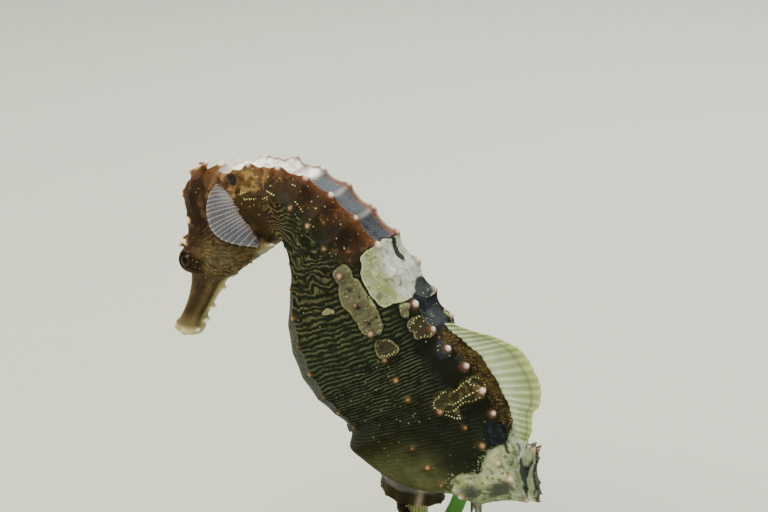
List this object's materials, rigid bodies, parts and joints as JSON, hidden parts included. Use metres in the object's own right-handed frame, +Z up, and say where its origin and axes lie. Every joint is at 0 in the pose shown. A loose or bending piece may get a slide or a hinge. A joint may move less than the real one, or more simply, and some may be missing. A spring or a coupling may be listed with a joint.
{
  "type": "seahorse model",
  "caption": "Still, life-size model of a seahorse gripping a short tuft of seagrass with its tail, held by rods on an oval base.",
  "frame": {"origin": "middle of the underside of the stand's base", "axes": "+Z up; the animal faces -X, its left side is towards -Y, and its midline is the plane y = 0 down to the base of the tail"},
  "size_m": [0.08, 0.05, 0.0912],
  "materials": {
    "skin": "moist bony skin, dark brown with olive lines and pale patches",
    "snout": "moist skin, brown with a pale rim",
    "coronet": "moist skin, reddish brown with pale knobs",
    "eye": "glossy, near black",
    "fin": "thin translucent membrane on fine rays",
    "seagrass_sheath": "smooth leaf sheath",
    "seagrass_blade": "smooth green leaf",
    "stand_base": "satin dark hardwood",
    "stand_rod": "brushed"
  },
  "bodies": {
    "root": {"snout": "snout", "head": "skin", "coronet": "coronet", "eye_left": "eye", "eye_right": "eye", "neck": "skin", "trunk_upper": "skin", "trunk_lower": "skin", "tail_base": "skin", "tail_bend": "skin", "tail_coil_1": "skin", "tail_coil_2": "skin", "tail_coil_3": "skin", "tail_tip": "skin", "dorsal_fin": "fin", "anal_fin": "fin", "pectoral_fin_left": "fin", "pectoral_fin_right": "fin", "seagrass_sheath": "seagrass_sheath", "seagrass_blade_1": "seagrass_blade", "seagrass_blade_2": "seagrass_blade", "seagrass_blade_3": "seagrass_blade", "seagrass_blade_low": "seagrass_blade", "stand_base": "stand_base", "stand_rod_body": "stand_rod", "stand_rod_perch": "stand_rod"}
  },
  "joints": []
}
